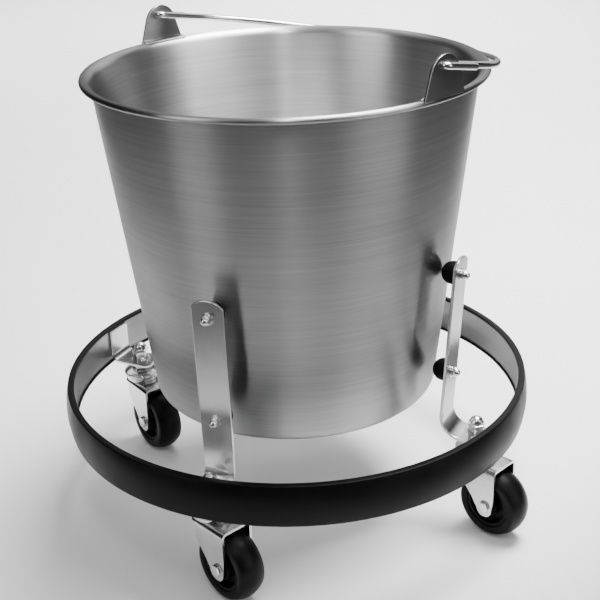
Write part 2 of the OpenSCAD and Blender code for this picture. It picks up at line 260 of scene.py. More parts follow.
def sheet_bm(rows, place, thickness):
    """A bent sheet: rows of flat (u, v), placed in 3-D with a thickness.

    place(u, v, w) gives the point for flat coordinates u, v at depth w."""
    bm = bmesh.new()
    layers = []
    for w in (-thickness / 2, thickness / 2):
        layers.append([[bm.verts.new(place(u, v, w)) for u, v in row] for row in rows])
    lower, upper = layers
    height, width = len(rows), len(rows[0])
    for i in range(height - 1):
        for j in range(width - 1):
            a, b, c, d = (i, j), (i + 1, j), (i + 1, j + 1), (i, j + 1)
            bm.faces.new([upper[p][q] for p, q in (a, b, c, d)])
            bm.faces.new([lower[p][q] for p, q in (d, c, b, a)])
    for i in range(height - 1):
        for j in (0, width - 1):
            bm.faces.new([lower[i][j], lower[i + 1][j], upper[i + 1][j], upper[i][j]])
    for j in range(width - 1):
        for i in (0, height - 1):
            bm.faces.new([lower[i][j], lower[i][j + 1], upper[i][j + 1], upper[i][j]])
    return bm


def bevelled(obj, width):
    """The piece with every edge sharper than 40 degrees rounded; width is in mm."""
    mod = obj.modifiers.new("edge", "BEVEL")
    mod.width = width * MM
    mod.segments = 3
    mod.limit_method = "ANGLE"
    mod.angle_limit = radians(40)
    mod.harden_normals = False
    return obj


def flat_plate(name, outlines, thickness, edge, matrix):
    """A flat plate with holes and rounded edges, from closed 2-D outlines in mm."""
    curve = bpy.data.curves.new(name, "CURVE")
    curve.dimensions = "2D"
    curve.fill_mode = "BOTH"
    curve.extrude = (thickness / 2 - edge) * MM
    curve.bevel_depth = edge * MM
    curve.offset = -edge * MM
    curve.bevel_resolution = 2
    for outline in outlines:
        spline = curve.splines.new("POLY")
        spline.points.add(len(outline) - 1)
        for point, (x, y) in zip(spline.points, outline):
            point.co = (x * MM, y * MM, 0, 1)
        spline.use_cyclic_u = True
    holder = linked(name + "_curve", curve)
    bpy.context.view_layer.update()
    mesh = bpy.data.meshes.new_from_object(holder.evaluated_get(
        bpy.context.evaluated_depsgraph_get()))
    bpy.data.objects.remove(holder)
    bm = bmesh.new()
    bm.from_mesh(mesh)
    bmesh.ops.remove_doubles(bm, verts=bm.verts, dist=WELD_M)
    bmesh.ops.recalc_face_normals(bm, faces=bm.faces)
    bm.to_mesh(mesh)
    bm.free()
    mesh.name = name
    smooth(mesh)
    obj = linked(name, mesh)
    obj.matrix_world = matrix
    return obj


def tube(name, path, radius, sides, matrix):
    """A round wire along a planar path in XY, with domed ends."""
    pts = [Vector((x, y, 0)) for x, y in path]
    bm = bmesh.new()
    up = Vector((0, 0, 1))
    dome = radius * 0.5
    dome_angles = (25, 50, 75)

    def ring(centre, tangent, r):
        side = tangent.cross(up)
        return [bm.verts.new(centre + r * (cos(2 * pi * k / sides) * side
                                           + sin(2 * pi * k / sides) * up))
                for k in range(sides)]

    rings = []
    last = len(pts) - 1
    for i, p in enumerate(pts):
        ahead = pts[min(i + 1, last)] - p
        behind = p - pts[max(i - 1, 0)]
        tangent = (ahead.normalized() + behind.normalized()).normalized()
        if i == 0:
            for a in reversed(dome_angles):
                rings.append(ring(p - tangent * dome * sin(radians(a)),
                                  tangent, radius * cos(radians(a))))
        rings.append(ring(p, tangent, radius))
        if i == last:
            for a in dome_angles:
                rings.append(ring(p + tangent * dome * sin(radians(a)),
                                  tangent, radius * cos(radians(a))))
    for low, high in zip(rings, rings[1:]):
        for k in range(sides):
            n = (k + 1) % sides
            bm.faces.new((low[k], low[n], high[n], high[k]))
    bm.faces.new(rings[0][::-1])
    bm.faces.new(rings[-1])
    return finish_mesh(name, bm, matrix, 50)


def copies(name, bms, matrices):
    """One mesh holding every bmesh in bms at every matrix (mm), for group nodes."""
    whole = bmesh.new()
    for matrix in matrices:
        for bm in bms:
            part = bpy.data.meshes.new("part")
            bm.to_mesh(part)
            part.transform(matrix)
            whole.from_mesh(part)
            bpy.data.meshes.remove(part)
    for bm in bms:
        bm.free()
    bmesh.ops.recalc_face_normals(whole, faces=whole.faces)
    mesh = bpy.data.meshes.new(name)
    whole.to_mesh(mesh)
    whole.free()
    mesh.transform(Matrix.Scale(MM, 4))
    smooth(mesh)
    return linked(name, mesh)


def metres(matrix):
    """The same placing with its translation given in metres."""
    out = matrix.copy()
    out.translation = matrix.translation * MM
    return out


def turn_z(angle):
    return Matrix.Rotation(angle, 4, "Z")


def shift(x, y, z):
    return Matrix.Translation((x, y, z))


def place(obj, nodes, body, slot, material):
    """Gives a piece its finish, hides the CAD nodes it stands in for, and lets it ride."""
    obj.data.materials.clear()
    obj.data.materials.append(material)
    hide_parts(*nodes)
    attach(obj, body)
    return obj


# ---------------------------------------------------------------- materials
# Noise scales are per metre and bump depths in metres. No material's roughness may
# cross 0.274: the denoiser treats the two sides of that value in different ways, and
# leaves dark dashes where a surface goes from one to the other.
def node_material(name):
    """A material with only a Principled shader and its output."""
    mat = bpy.data.materials.new(name)
    mat.use_nodes = True
    tree = mat.node_tree
    tree.nodes.clear()
    out = tree.nodes.new("ShaderNodeOutputMaterial")
    shader = tree.nodes.new("ShaderNodeBsdfPrincipled")
    tree.links.new(shader.outputs["BSDF"], out.inputs["Surface"])
    return mat, tree, shader


def add(tree, kind, inputs=None, **settings):
    """A new node: inputs are values or sockets to link, settings are its properties."""
    node = tree.nodes.new(kind)
    for key, value in settings.items():
        setattr(node, key, value)
    for key, value in (inputs or {}).items():
        if isinstance(value, bpy.types.NodeSocket):
            tree.links.new(value, node.inputs[key])
        else:
            node.inputs[key].default_value = value
    return node


def object_coords(tree):
    return add(tree, "ShaderNodeTexCoord").outputs["Object"]


def stretched(tree, coords, scale):
    return add(tree, "ShaderNodeMapping", {"Vector": coords, "Scale": scale}).outputs["Vector"]


def noise(tree, coords, scale, detail=3.0, rough=0.55):
    return add(tree, "ShaderNodeTexNoise", {
        "Vector": coords, "Scale": scale, "Detail": detail, "Roughness": rough,
    }).outputs["Fac"]


def remap(tree, value, low, high, a=0.3, b=0.7):
    """The value's range a to b spread over low to high, and held inside it."""
    return add(tree, "ShaderNodeMapRange", {
        "Value": value, "From Min": a, "From Max": b, "To Min": low, "To Max": high,
    }).outputs["Result"]


def grey_ramp(tree, value, dark, light, a=0.3, b=0.7):
    """A grey that goes from dark to light as the value goes from a to b."""
    ramp = add(tree, "ShaderNodeValToRGB", {"Fac": value})
    ramp.color_ramp.elements[0].position = a
    ramp.color_ramp.elements[0].color = (dark, dark, dark, 1)
    ramp.color_ramp.elements[1].position = b
    ramp.color_ramp.elements[1].color = (light, light, light, 1)
    return ramp.outputs["Color"]


def node_math(tree, operation, a, b):
    return add(tree, "ShaderNodeMath", {0: a, 1: b}, operation=operation).outputs[0]


def sum_of(tree, a, b, weight):
    """a plus b times the weight."""
    return node_math(tree, "ADD", a, node_math(tree, "MULTIPLY", b, weight))


def bump(tree, shader, height, strength, distance):
    node = add(tree, "ShaderNodeBump", {
        "Height": height, "Strength": strength, "Distance": distance})
    tree.links.new(node.outputs["Normal"], shader.inputs["Normal"])


def around_axis(tree, coords):
    """Coordinates unrolled round Z: (angle, radius, height)."""
    parts = add(tree, "ShaderNodeSeparateXYZ", {0: coords})
    angle = node_math(tree, "ARCTAN2", parts.outputs["Y"], parts.outputs["X"])
    flat = add(tree, "ShaderNodeCombineXYZ", {0: parts.outputs["X"], 1: parts.outputs["Y"]})
    radius = add(tree, "ShaderNodeVectorMath", {0: flat.outputs[0]},
                 operation="LENGTH").outputs["Value"]
    return add(tree, "ShaderNodeCombineXYZ",
               {0: angle, 1: radius, 2: parts.outputs["Z"]}).outputs[0]


def facing_out(tree):
    """1 where a surface faces away from the Z axis, 0 where it faces the axis."""
    coords = add(tree, "ShaderNodeTexCoord")
    flat = add(tree, "ShaderNodeVectorMath", {
        0: coords.outputs["Object"], 1: (1, 1, 0)}, operation="MULTIPLY").outputs["Vector"]
    radial = add(tree, "ShaderNodeVectorMath", {0: flat},
                 operation="NORMALIZE").outputs["Vector"]
    along = add(tree, "ShaderNodeVectorMath", {
        0: radial, 1: coords.outputs["Normal"]}, operation="DOT_PRODUCT").outputs["Value"]
    return remap(tree, along, 0, 1, -0.3, 0.3)


FINE_LINES = 1700.0


def spun_steel(name, light, dark, rough, anisotropy, inside, edge):
    """Sheet steel brushed round the axis: fine rings, a few broader ones, faint blotches.

    inside is how much brighter the inner face is painted, a painted highlight; edge is the
    tint at a grazing angle."""
    mat, tree, shader = node_material(name)
    shader.inputs["Metallic"].default_value = 1.0
    shader.inputs["Anisotropic"].default_value = anisotropy
    shader.inputs["Anisotropic Rotation"].default_value = 0.25
    polar = around_axis(tree, object_coords(tree))
    rings = stretched(tree, polar, (2.0, FINE_LINES * 0.5, FINE_LINES))
    fine = noise(tree, rings, 1.0, 2.0, 0.7)
    broad = noise(tree, stretched(tree, polar, (0.8, 160.0, 260.0)), 1.0, 3.0)
    blotch = noise(tree, object_coords(tree), 14.0, 4.0)
    mixed = sum_of(tree, fine, broad, 0.6)
    # Painted highlight: the inner face's colour is made brighter than the outer face's.
    inner_painted_highlight = remap(tree, facing_out(tree), inside, 1.0, 0, 1)
    tone = node_math(tree, "MULTIPLY", remap(tree, mixed, dark, light, 0.45, 1.15), inner_painted_highlight)
    tree.links.new(tone, shader.inputs["Base Color"])
    shader.inputs["Specular Tint"].default_value = (edge, edge, edge, 1)
    worn = sum_of(tree, blotch, broad, 0.3)
    tree.links.new(remap(tree, worn, rough - 0.03, rough + 0.04, 0.4, 0.9),
                   shader.inputs["Roughness"])
    tangent = add(tree, "ShaderNodeTangent", direction_type="RADIAL", axis="Z")
    tree.links.new(tangent.outputs[0], shader.inputs["Tangent"])
    return mat


def bar_steel(name, light, dark, rough, grain=(1800.0, 1800.0, 40.0)):
    """Bar, plate or wire brushed along its length, with small scuffs.

    grain is how fine the brushing is along each axis of the piece."""
    mat, tree, shader = node_material(name)
    shader.inputs["Metallic"].default_value = 1.0
    shader.inputs["Anisotropic"].default_value = 0.3
    shader.inputs["Specular Tint"].default_value = (0.45, 0.45, 0.45, 1)
    coords = object_coords(tree)
    fine = noise(tree, stretched(tree, coords, grain), 1.0, 3.0, 0.65)
    scuff = noise(tree, coords, 90.0, 5.0, 0.7)
    tree.links.new(grey_ramp(tree, fine, dark, light), shader.inputs["Base Color"])
    worn = sum_of(tree, fine, scuff, 0.7)
    tree.links.new(remap(tree, worn, rough - 0.01, rough + 0.03, 0.6, 1.1),
                   shader.inputs["Roughness"])
    bump(tree, shader, scuff, 0.02, 0.00002)
    return mat


def plated(name, light, dark, rough):
    """Bright zinc or chrome plate with faint clouding and tiny pits."""
    mat, tree, shader = node_material(name)
    shader.inputs["Metallic"].default_value = 1.0
    coords = object_coords(tree)
    cloud = noise(tree, coords, 60.0, 4.0)
    pits = noise(tree, coords, 900.0, 2.0)
    tree.links.new(grey_ramp(tree, cloud, dark, light), shader.inputs["Base Color"])
    tree.links.new(remap(tree, cloud, rough, rough + 0.12), shader.inputs["Roughness"])
    bump(tree, shader, sum_of(tree, cloud, pits, 0.15), 0.25, 0.00012)
    return mat


def rubber(name, light, dark, rough, grain=700.0, depth=0.00006):
    """Black rubber: fine grain and soft patches of polish."""
    mat, tree, shader = node_material(name)
    shader.inputs["IOR"].default_value = 1.2
    coords = object_coords(tree)
    grains = noise(tree, coords, grain, 3.0, 0.6)
    patch = noise(tree, coords, 22.0, 4.0)
    mixed = sum_of(tree, patch, grains, 0.5)
    tree.links.new(grey_ramp(tree, mixed, dark, light, 0.5, 1.0), shader.inputs["Base Color"])
    tree.links.new(remap(tree, patch, rough - 0.08, rough + 0.1), shader.inputs["Roughness"])
    bump(tree, shader, mixed, 0.3, depth)
    return mat


PAIL = spun_steel("pail_brushed_steel", light=0.53, dark=0.37, rough=0.32,
                  anisotropy=0.96, inside=1.35, edge=0.4)
BAND = spun_steel("band_brushed_steel", light=0.32, dark=0.24, rough=0.32,
                  anisotropy=0.2, inside=1.0, edge=0.3)
EAR = bar_steel("ear_steel", light=0.5, dark=0.4, rough=0.22, grain=(60.0, 1400.0, 1400.0))
WIRE = bar_steel("bail_wire_steel", light=0.8, dark=0.66, rough=0.2,
                 grain=(700.0, 700.0, 700.0))
BAR = bar_steel("bar_brushed_steel", light=0.74, dark=0.66, rough=0.235)
BUSH = bar_steel("bush_turned_steel", light=0.6, dark=0.45, rough=0.3)
ZINC = plated("caster_zinc_plate", light=0.8, dark=0.66, rough=0.14)
CHROME = plated("fastener_chrome", light=0.88, dark=0.76, rough=0.08)
BUMPER = rubber("bumper_black_rubber", light=0.0035, dark=0.0015, rough=0.38)
PAD = rubber("pad_black_rubber", light=0.004, dark=0.002, rough=0.5)
TYRE = rubber("tyre_black_rubber", light=0.0045, dark=0.002, rough=0.38, grain=500.0)
HUB = rubber("hub_black_moulding", light=0.004, dark=0.002, rough=0.4, grain=1100.0,
             depth=0.00003)


# ---------------------------------------------------------------- pail
def pail_profile():
    """The sheet's two faces from the axis out and back: base, wall, flare and bead."""
    lean = degrees(wall_lean)
    corner_x = wall_base_r - base_corner_r * (1 - sin(wall_lean)) / cos(wall_lean)
    corner_z = base_z + base_corner_r
    steps = 30
    floor_rings = [corner_x * share for share in (0.35, 0.7, 0.93)]
    outer = [(0, base_z)] + [(ring, base_z) for ring in floor_rings]
    outer += arc(corner_x, corner_z, base_corner_r, -90, -lean, 7)
    low = outer[-1]
    for k in range(1, steps):
        t = k / steps
        outer.append((low[0] + (wall_top_r - low[0]) * t,
                      low[1] + (flare_z - low[1]) * t))
    outer += arc(wall_top_r + flare_r, flare_z, flare_r, 180, 105, 8)
    outer += arc(rim_r - bead_r, rim_z - bead_r, bead_r, 150 + 360, 90, 22)[1:]
    inner = arc(wall_top_r + flare_r, flare_z, flare_r + sheet_t, 96, 180 - lean, 9)
    top = inner[-1]
    foot_r = base_corner_r - sheet_t
    bend = arc(corner_x, corner_z, foot_r, -lean, -90, 7)
    for k in range(1, steps):
        t = k / steps
        inner.append((top[0] + (bend[0][0] - top[0]) * t,
                      top[1] + (bend[0][1] - top[1]) * t))
    inner += bend
    floor_z = base_z + sheet_t
    inner += [(ring, floor_z) for ring in reversed(floor_rings)] + [(0, floor_z)]
    return outer + inner


pail = lathe("pail", pail_profile(), 192, closed=False, sharp=60)
place(pail, ["pail_shell"], "pail", "pail_steel", PAIL)

swing = JOINTS["bail_swing"]
ear_dir = Vector(swing["axis"])
ear_az = atan2(ear_dir.y, ear_dir.x)
hole_z = swing["pos_m"][2] / MM


def ear_outline(aside):
    """An ear's outline: straight sides that run into a round top, moved aside."""
    half = ear_w / 2
    cz = ear_top_h - ear_top_r
    tangent = acos(ear_top_r / hypot(half, cz)) - atan2(cz, half)
    low = -1.2
    cut = 0.6
    outline = ([(half - cut, low), (half, low + cut)]
               + arc(0, cz, ear_top_r, degrees(tangent), 180 - degrees(tangent), 28)
               + [(-half, low + cut), (-half + cut, low)])
    return [(x + aside, y) for x, y in outline]


def ear_foot_bm(aside):
    """The foot of an ear: a strip bent inwards onto the flare."""
    cx, cz = wall_top_r + flare_r, flare_z
    r_mid = flare_r + sheet_t + 0.62
    start, sweep, end_cut = 93, 32, 0.8
    along, across = 7, 14
    rows = []
    for i in range(along + 1):
        a = radians(start + sweep * i / along)
        half = ear_w / 2 - (end_cut if i == along else 0)
        rows.append([(a, aside + half * (2 * j / across - 1)) for j in range(across + 1)])

    def place_point(a, y, w):
        r = cx + (r_mid + w) * cos(a)
        return (sqrt(max(r * r - y * y, 0)), y, cz + (r_mid + w) * sin(a))

    foot_t = 1.15
    return sheet_bm(rows, place_point, foot_t)


wire_fit = 0.12
hole_outline = arc(0, hole_z - rim_z, wire_r + wire_fit, 0, 352, 44)
upright_plane = Matrix(((0, 0, 1, 0), (1, 0, 0, 0), (0, 1, 0, 0), (0, 0, 0, 1)))
for number, turn in ((1, 0.0), (2, pi)):
    stand = turn_z(ear_az + turn) @ shift(ear_out - ear_t / 2, 0, rim_z)
    aside = ear_shift[turn]
    ear = flat_plate(f"bail_ear_{number}", [ear_outline(aside), hole_outline], ear_t, 0.35,
                     metres(stand @ upright_plane))
    place(ear, [f"ear_{number}"], "pail", "ear_steel", EAR)
    strip = finish_mesh(f"ear_foot_{number}", ear_foot_bm(aside), turn_z(ear_az + turn))
    foot = bevelled(strip, 0.25)
    place(foot, [f"ear_{number}"], "pail", "ear_steel", WIRE)


def bail_path():
    """The wire in its own plane, from one bent-back end over the bow to the other."""
    leg_len = sqrt((bow_r - shoulder_r) ** 2 - (leg_a - shoulder_r) ** 2)
    turn = degrees(atan2(leg_len, leg_a - shoulder_r))
    inner_a, outer_a = leg_a + turn_r, tail_a - turn_r
    parts = 8
    half = [(tail_a, turn_r + tail_len * (1 - k / parts)) for k in range(parts)]
    half += arc(outer_a, turn_r, turn_r, 0, -90, parts)
    half += arc(inner_a, turn_r, turn_r, 270, 180, parts)
    half += [(leg_a, turn_r + (leg_len - turn_r) * k / parts) for k in range(1, parts)]
    half += arc(leg_a - shoulder_r, leg_len, shoulder_r, 0, turn, 14)
    bow = arc(0, 0, bow_r, turn, 180 - turn, 96)[1:-1]
    return half + bow + [(-a, b) for a, b in reversed(half)]


bail_frame = (shift(0, 0, hole_z) @ turn_z(ear_az)
              @ Matrix.Rotation(-bail_drop, 4, "X"))
bail = tube("bail_wire", bail_path(), wire_r, 20, metres(bail_frame))
place(bail, ["bail"], "bail", "bail_steel", WIRE)


# ---------------------------------------------------------------- ring
def bumper_profile():
    """The rubber channel's section: a bulging face and a lip round each edge."""
    left = band_in - lip_in
    half = (ring_top - ring_z) / 2
    mid_z = ring_z + half
    face_r = (half * half + crown * crown) / (2 * crown)
    corner = 1.0
    gap = 0.05
    reach = degrees(asin((half - corner) / (face_r - corner)))
    centre_r = ring_r - face_r
    shoulder_x = centre_r + (face_r - corner) * cos(radians(reach))
    outer = (arc(shoulder_x, ring_z + corner, corner, -90, -reach, 5)
             + arc(centre_r, mid_z, face_r, -reach, reach, 22)[1:-1]
             + arc(shoulder_x, ring_top - corner, corner, reach, 90, 5))
    soft = 0.9
    low_soft = 0.35
    top_lip = (arc(left + soft, ring_top - soft, soft, 90, 180, 5)
               + arc(left + low_soft, ring_top - lip_h + low_soft, low_soft, 180, 270, 3)
               + [(band_in + gap, ring_top - lip_h)])
    low_lip = ([(band_in + gap, ring_z + lip_h)]
               + arc(left + low_soft, ring_z + lip_h - low_soft, low_soft, 90, 180, 3)
               + arc(left + soft, ring_z + soft, soft, 180, 270, 5))
    channel = [(band_in + gap, ring_top - lip_t), (band_out, ring_top - lip_t),
               (band_out, ring_z + lip_t), (band_in + gap, ring_z + lip_t)]
    return outer + top_lip + channel + low_lip


bumper = lathe("ring_bumper_rubber", bumper_profile(), 192, sharp=50)
place(bumper, ["ring_bumper"], "frame", "bumper_rubber", BUMPER)

band_low, band_top = ring_z + lip_t, ring_top - lip_t
band_section = rounded([(band_in, band_low), (band_out, band_low),
                        (band_out, band_top), (band_in, band_top)], 0.4)
band = lathe("ring_band_steel", band_section, 192)
place(band, ["ring_band"], "frame", "band_steel", BAND)


# ---------------------------------------------------------------- uprights
def bar_face(n, z):
    """Radius of a standing bar's outer face at height z."""
    return bar_r[n] + (z - pad_hi) * tan(bar_lean[n])


# A bar's arc top: its height over the first row of the path, and its rows.
TOP_H = 14
TOP_ROWS = 4


def upright_path(n):
    """Centre line of a bar in (radius, height), from its arc top to the ring."""
    lean, bend = bar_lean[n], bend_in[n]
    mid = bar_t / 2
    centre_z = tab_z + bend
    centre_r = bar_r[n] + (bend + (centre_z - pad_hi) * sin(lean)) / cos(lean)
    end = band_in - bar_t - heel_in

    def on_line(z):
        return (bar_face(n, z) - mid * cos(lean), z + mid * sin(lean))

    path = [on_line(bar_top - TOP_H - k * 20) for k in range(5)]
    path += arc(centre_r, centre_z, bend + mid, 180 - degrees(lean), 270, 18)
    path += [(centre_r + (end - centre_r) * k / 5, tab_z - mid) for k in range(1, 5)]
    path += arc(end, tab_z + heel_in, heel_in + mid, 270, 360, 12)
    path += [(band_in - mid, tab_z + heel_in + (plate_top - tab_z - heel_in) * k / 3)
             for k in range(1, 4)]
    return path


def upright_bm(n):
    """A bar as a bent sheet along its centre line, with extra rows for its arc top."""
    path = [Vector(p) for p in upright_path(n)]
    up = (path[0] - path[1]).normalized()
    out = Vector((up.y, -up.x))
    steps = 16
    across = [bar_w / 2 * (2 * j / steps - 1) for j in range(steps + 1)]
    arc_rise = {y: top_arc_r - sqrt(top_arc_r ** 2 - y * y) for y in across}
    rows = [[(k - TOP_ROWS, y) for y in across] for k in range(TOP_ROWS)]
    rows += [[(k, y) for y in across] for k in range(len(path))]

    def point(u, y, w):
        if u < 0:
            rise = (TOP_H - 0.5 - arc_rise[y]) * -u / TOP_ROWS
            spot = path[0] + up * rise + out * w
            return (spot.x, y, spot.y)
        k = int(u)
        ahead = path[min(k + 1, len(path) - 1)] - path[k]
        behind = path[k] - path[max(k - 1, 0)]
        tangent = (ahead.normalized() + behind.normalized()).normalized()
        normal = Vector((-tangent.y, tangent.x))
        spot = path[k] + normal * w
        return (spot.x, y, spot.y)

    return sheet_bm(rows, point, bar_t)


def bracket_turn(n):
    """The direction in which a bracket stands, as an angle round Z."""
    x, y = JOINTS[f"swivel_{n}"]["pos_m"][:2]
    return atan2(y, x)


def at_pad(n, z):
    """A pad's own frame, on the bar's inner face: +Z points to the pail."""
    return (turn_z(bracket_turn(n)) @ shift(bar_r[n], 0, pad_hi)
            @ Matrix.Rotation(bar_lean[n], 4, "Y")
            @ shift(-bar_t, 0, (z - pad_hi) / cos(bar_lean[n]))
            @ Matrix.Rotation(radians(-90), 4, "Y"))


def pad_section(n):
    """A dome on a short cylinder that ends just short of the pail's wall."""
    turn = wall_lean - bar_lean[n]
    off_wall = ((bar_r[n] - wall_base_r) * cos(wall_lean)
                - (pad_hi - base_z) * sin(wall_lean))
    gap = 0.3
    stand = (off_wall - pad_r - gap) / cos(turn) - bar_t
    soft = 0.5
    foot_r = pad_r - soft
    foot = [(0, 0), (foot_r, 0)] + arc(foot_r, soft, soft, -60, 0, 3)
    return foot + [(pad_r, stand * 0.5)] + arc(0, stand, pad_r, 0, 90, 14)


for n in BRACKETS:
    turn = turn_z(bracket_turn(n))
    bar = bevelled(finish_mesh(f"upright_bar_{n}", upright_bm(n), turn, 50), 0.65)
    place(bar, [f"upright_{n}"], "frame", "bar_steel", BAR)

for level, z in (("lower", pad_lo), ("upper", pad_hi)):
    for n in BRACKETS:
        pad = lathe(f"rubber_pad_{level}_{n}", pad_section(n), 48, closed=False,
                    matrix=metres(at_pad(n, z)), sharp=60)
        place(pad, [f"pad_{level}_{n}"], "frame", "pad_rubber", PAD)

pad_places = [at_pad(n, z) for n in BRACKETS for z in (pad_lo, pad_hi)]
thread_r, washer_in, washer_out, washer_t = 2.0, 2.1, 4.6, 0.8
nut_end = -bar_t - 3.8
dome_sink = 0.6
washer = lathe_bm(rounded([(washer_in, -bar_t - washer_t), (washer_out, -bar_t - washer_t),
                           (washer_out, -bar_t), (washer_in, -bar_t)], 0.2), 32, True)
small_nut = prism_bm(hex_outline(7), nut_end, -bar_t - washer_t, 0.4)
small_dome_r = 3.15
small_dome = lathe_bm([(0, nut_end + dome_sink), (small_dome_r, nut_end + dome_sink)]
                      + [(r, nut_end + z) for r, z in arc(0, 0, small_dome_r, 0, -90, 8)],
                      32, False)
pad_nuts = copies("pad_nuts_all", [washer, small_nut, small_dome], pad_places)
place(pad_nuts, ["pad_nuts"], "frame", "fastener_chrome", CHROME)
screw_tip = lathe_bm([(0, nut_end + 0.1), (thread_r - 0.1, nut_end + 0.1),
                      (thread_r, nut_end + 0.3), (thread_r, 1), (0, 1)], 24, False)
pad_screws = copies("pad_screws_all", [screw_tip], pad_places)
place(pad_screws, ["pad_screws"], "frame", "fastener_chrome", CHROME)


# ---------------------------------------------------------------- casters
def stem_frame(n):
    """A caster's own frame: on the floor under its stem, +X along its trail."""
    stem = JOINTS[f"swivel_{n}"]["pos_m"]
    axle = JOINTS[f"roll_{n}"]["pos_m"]
    heading = atan2(axle[1] - stem[1], axle[0] - stem[0])
    return shift(stem[0] / MM, stem[1] / MM, 0) @ turn_z(heading)


def axle_frame(n):
    """A wheel's own frame: in its middle, +Z along the axle."""
    return (stem_frame(n) @ shift(trail, 0, wheel_r)
            @ Matrix.Rotation(radians(90), 4, "X"))


nut_z = tab_z + 1.3
nut_h = 9.0
dome_r = 5.95
stems = [stem_frame(n) for n in BRACKETS]
dome = lathe_bm([(0, nut_z + nut_h - dome_sink), (dome_r, nut_z + nut_h - dome_sink)]
                + arc(0, nut_z + nut_h, dome_r, 2, 90, 10), 40, False)
cap_nuts = copies("cap_nuts_all",
                  [prism_bm(hex_outline(13, 0.6), nut_z, nut_z + nut_h, 0.9), dome], stems)
place(cap_nuts, ["cap_nuts"], "frame", "fastener_chrome", CHROME)
hole_r, seat_r = 4.1, 8
washer_section = [(hole_r, tab_z), (seat_r, tab_z), (seat_r, nut_z), (hole_r, nut_z)]
big_washer = lathe_bm(rounded(washer_section, 0.3), 48, True)
stem_washers = copies("stem_washers_all", [big_washer], stems)
place(stem_washers, ["stem_washers"], "frame", "fastener_chrome", CHROME)

low_race = crown_z + 2.7
bore_r = 4.6
race_foot, groove_top = race_top - 4.4, race_top - 3.4
upper_race = ([(bore_r, race_foot), (9.4, race_foot), (9.7, groove_top),
               (14.1, groove_top), (14.4, race_foot)]
              + arc(15.6, race_top - 3.6, 0.9, -90, 0, 4)
              + arc(15.0, race_top - 1.9, 1.5, 0, 55, 4)
              + [(14.2, race_top - 0.4), (12.6, race_top), (bore_r, race_top)])
low_bore_r = 8.3
low_foot = crown_z + 0.05
lower_race = ([(low_bore_r, low_foot), (14.3, low_foot)]
              + arc(13.9, low_race - 0.6, 0.6, 0, 90, 4)
              + [(12.9, low_race - 0.3), (11.9, low_race - 1.0), (10.6, low_race - 0.4),
                 (9.4, low_race), (low_bore_r, low_race)])


# The fork from above, from its stem: the radius of the crown's round back, how far
# back the sides start under it, and the legs' front edge and low back edge.
CROWN_R = 14.5
SIDE_BACK = 2.8
FRONT_X = trail + 8.7
LEG_BACK = trail - 6.2


def fork_side_back(z):
    """How far back the side of a leg reaches at height z."""
    points = [(crown_z - 3, -13.5), (wheel_r + 19, -3.5), (wheel_r + 5, 8.0),
              (wheel_r - 5, LEG_BACK)]
    for (z1, x1), (z0, x0) in zip(points, points[1:]):
        if z >= z0:
            return max(x0 + (x1 - x0) * (z - z0) / (z1 - z0), -SIDE_BACK)
    return LEG_BACK


def fork_bm():
    """A fork as one bent sheet: up a leg, round a bend, over the crown and down again."""
    end_r, end_z = 7.0, wheel_r - 2
    bend_r = 3.2
    mid_y = leg_y + leg_t / 2
    mid_z = crown_z - 1.1
    rows = []
    places = []

    count = 14

    def add_row(y, z, normal, x0, x1):
        places.append((y, z, normal))
        row = len(places) - 1
        rows.append([(row, x0 + (x1 - x0) * (0.5 - 0.5 * cos(pi * j / count)))
                     for j in range(count + 1)])

    def leg_rows(side, downwards):
        levels = [end_z - end_r * cos(radians(a)) for a in (14, 28, 42, 56, 70, 82)]
        levels += [end_z + 3, wheel_r + 5, wheel_r + 10, wheel_r + 15, wheel_r + 19,
                   wheel_r + 24, mid_z - bend_r]
        if downwards:
            levels.reverse()
        for z in levels:
            if z < end_z:
                half = sqrt(max(end_r ** 2 - (end_z - z) ** 2, 0))
                x0, x1 = trail - half, trail + half
            else:
                x0 = min(fork_side_back(z), LEG_BACK)
                blend = min((z - end_z) / 10, 1)
                x1 = trail + end_r + (FRONT_X - trail - end_r) * blend
            add_row(side * mid_y, z, Vector((0, side, 0)), x0, x1)

    def bend_rows(side, inwards):
        angles = [0, 18, 36, 54, 72, 90]
        if not inwards:
            angles.reverse()
        for a in angles[1:] if inwards else angles[:-1]:
            c, s = cos(radians(a)), sin(radians(a))
            y = side * (mid_y - bend_r + bend_r * c)
            z = mid_z - bend_r + bend_r * s
            back = -sqrt(max(CROWN_R ** 2 - y * y, SIDE_BACK ** 2))
            add_row(y, z, Vector((0, side * c, s)), back, FRONT_X)

    leg_rows(1, False)
    bend_rows(1, True)
    for y in (8.0, 5.5, 3.0, 0.0, -3.0, -5.5, -8.0):
        add_row(y, mid_z, Vector((0, 0, 1)), -sqrt(CROWN_R ** 2 - y * y), FRONT_X)
    bend_rows(-1, False)
    leg_rows(-1, True)

    def point(row, x, w):
        y, z, normal = places[int(row)]
        return (x, y + normal.y * w, z + normal.z * w)

    return sheet_bm(rows, point, leg_t)


stem_r, pin_r = 3.95, 4.45
rivet_foot, rivet_seat, pin_top = crown_z - 4.5, crown_z - 2.65, race_top + 0.4
pin_section = [(0, rivet_foot), (5.2, rivet_foot), (6.6, crown_z - 3.9),
               (7.0, crown_z - 2.9), (6.6, rivet_seat), (pin_r, rivet_seat),
               (pin_r, pin_top), (0, pin_top)]
thread_foot, thread_top = tab_z - bar_t - 1, nut_z + 2
thread_section = [(0, thread_foot), (stem_r, thread_foot), (stem_r, thread_top),
                  (0, thread_top)]
head_flats, head_h = 9, 2.4
axle_foot, axle_top = -fork_half - 4, fork_half + 0.5
shank_section = [(0, axle_foot), (2.4, axle_foot), (axle_r, axle_foot + 0.6),
                 (axle_r, axle_top), (0, axle_top)]

